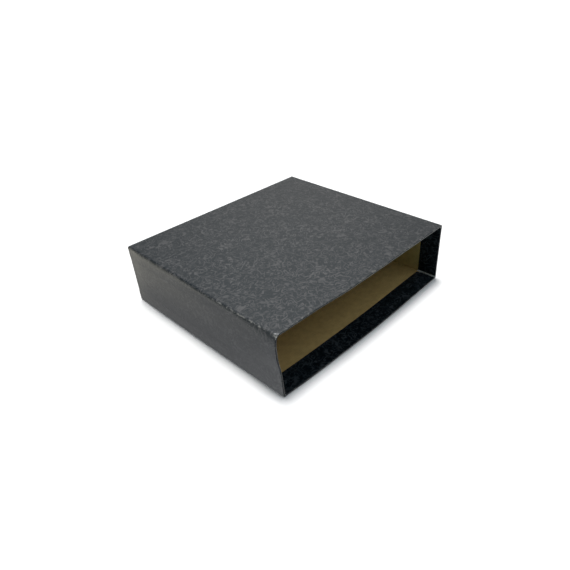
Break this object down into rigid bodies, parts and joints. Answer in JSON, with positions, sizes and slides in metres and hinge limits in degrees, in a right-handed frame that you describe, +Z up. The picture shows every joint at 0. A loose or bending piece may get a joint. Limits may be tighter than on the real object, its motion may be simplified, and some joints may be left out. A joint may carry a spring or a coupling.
{
  "type": "archive box",
  "caption": "Open-ended slipcase archive box: greyboard panels lined with kraft paper and covered in black marbled paper that is turned in at the mouth.",
  "frame": {"origin": "middle of the footprint on the surface it lies on", "axes": "+X along the mouth, +Y from the mouth towards the closed back, +Z up between the two large faces"},
  "size_m": [0.326, 0.3, 0.09],
  "materials": {
    "greyboard": "matt recycled fibre board",
    "kraft_lining": "matt brown kraft paper",
    "marbled_paper": "satin black and grey cloud-marbled paper"
  },
  "bodies": {
    "root": {"bottom_board": "greyboard", "top_board": "greyboard", "left_wall_board": "greyboard", "right_wall_board": "greyboard", "back_wall_board": "greyboard", "bottom_lining": "kraft_lining", "top_lining": "kraft_lining", "left_lining": "kraft_lining", "right_lining": "kraft_lining", "back_lining": "kraft_lining", "bottom_cover_paper": "marbled_paper", "top_cover_paper": "marbled_paper", "wall_cover_strip": "marbled_paper"}
  },
  "joints": []
}
